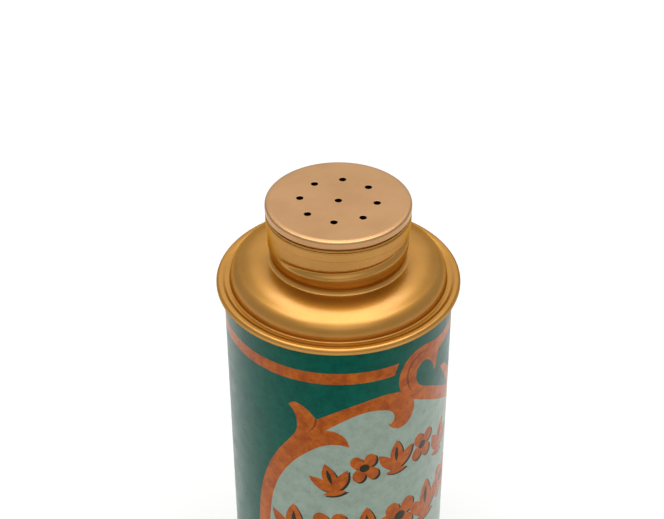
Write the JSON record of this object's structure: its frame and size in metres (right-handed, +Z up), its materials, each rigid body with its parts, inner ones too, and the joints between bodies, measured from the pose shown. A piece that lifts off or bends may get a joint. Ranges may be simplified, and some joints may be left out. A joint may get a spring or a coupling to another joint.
{
  "type": "talcum powder tin",
  "caption": "Round tinplate powder tin with a domed gold shoulder, a threaded neck and a perforated copper sifter that pulls out for filling.",
  "frame": {"origin": "centre of the resting face, on the tin's axis", "axes": "+Z up along the tin's axis; the middle of the front label faces -Y and the side seam of the can is at +Y"},
  "size_m": [0.0532, 0.0532, 0.13],
  "materials": {
    "litho_tinplate": "satin",
    "gold_lacquered_tinplate": "satin",
    "copper_sheet": "brushed",
    "sealing_compound": "matte"
  },
  "bodies": {
    "tin": {"body_shell": "litho_tinplate", "shoulder_neck": "gold_lacquered_tinplate", "base_end": "gold_lacquered_tinplate", "top_seam_compound": "sealing_compound", "base_seam_compound": "sealing_compound"},
    "sifter": {"sifter_plate": "copper_sheet", "sifter_collar": "gold_lacquered_tinplate"}
  },
  "joints": [
    {"name": "sifter_lift", "type": "slide", "parent": "tin", "child": "sifter", "axis": [0, 0, 1], "range_m": [0, 0.04]}
  ]
}
